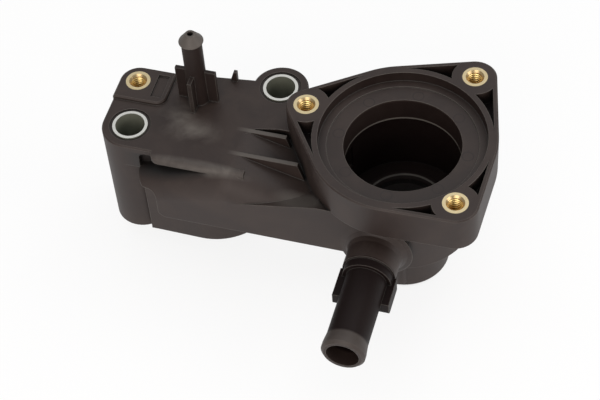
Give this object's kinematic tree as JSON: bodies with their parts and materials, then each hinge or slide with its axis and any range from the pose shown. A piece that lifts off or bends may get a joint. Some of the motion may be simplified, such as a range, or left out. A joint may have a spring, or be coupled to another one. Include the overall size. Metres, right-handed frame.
{
  "type": "coolant outlet housing",
  "caption": "Moulded black plastic coolant outlet housing with a round three-lobed cover flange, hose pipe, vent nipple, brass thread inserts and steel bolt sleeves.",
  "frame": {"origin": "centre of the round mouth, in the plane of the flange face that the outlet cover bolts to", "axes": "+Z out of the mouth, at right angles to the flange face; +X from the bolted block towards the mouth, along the duct; -Y along the hose pipe"},
  "size_m": [0.1377, 0.1101, 0.086],
  "materials": {
    "moulding": "moulded glass-filled polyamide, satin",
    "sleeve_steel": "rolled and zinc plated",
    "insert_brass": "turned"
  },
  "bodies": {
    "root": {"housing": "moulding", "bolt_sleeve_left": "sleeve_steel", "bolt_sleeve_right": "sleeve_steel", "thread_insert_left": "insert_brass", "thread_insert_rear": "insert_brass", "thread_insert_front": "insert_brass", "thread_insert_pad": "insert_brass"}
  },
  "joints": []
}
